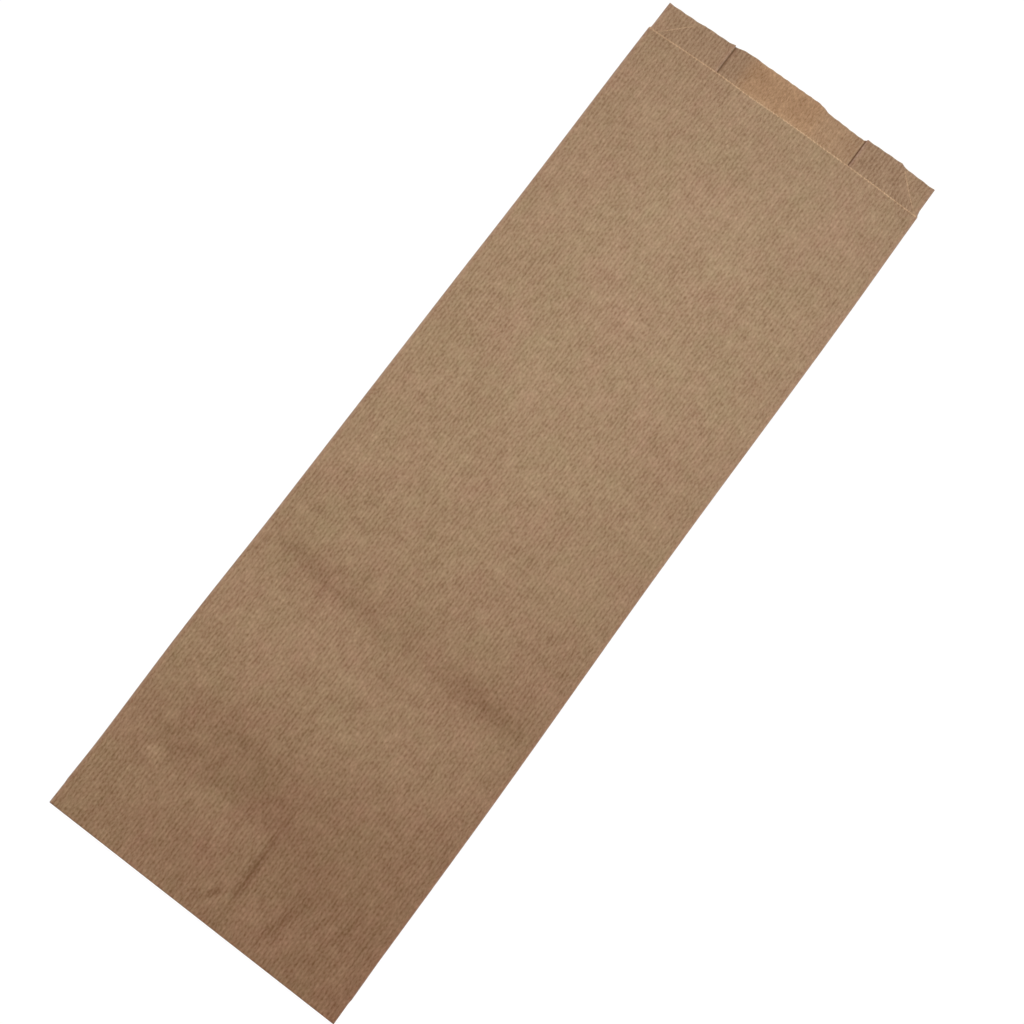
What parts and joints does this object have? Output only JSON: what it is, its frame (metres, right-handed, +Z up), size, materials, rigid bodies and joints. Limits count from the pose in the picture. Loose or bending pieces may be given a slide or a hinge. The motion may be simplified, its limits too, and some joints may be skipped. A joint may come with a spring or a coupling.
{
  "type": "paper bread bag",
  "caption": "Empty side-gusseted bread bag of brown ribbed kraft paper, lying nearly flat on its back, with a cut-back mouth, a lip and a folded, glued bottom.",
  "frame": {"origin": "on the surface that the bag lies on, below the middle of its length and width", "axes": "+Y along the bag toward its mouth, +X across it to the right seen from above with the mouth up, +Z up, out of the front"},
  "size_m": [0.16, 0.477, 0.0072],
  "materials": {
    "ribbed_kraft_paper": "matte"
  },
  "bodies": {
    "root": {"bag": "ribbed_kraft_paper"}
  },
  "joints": []
}
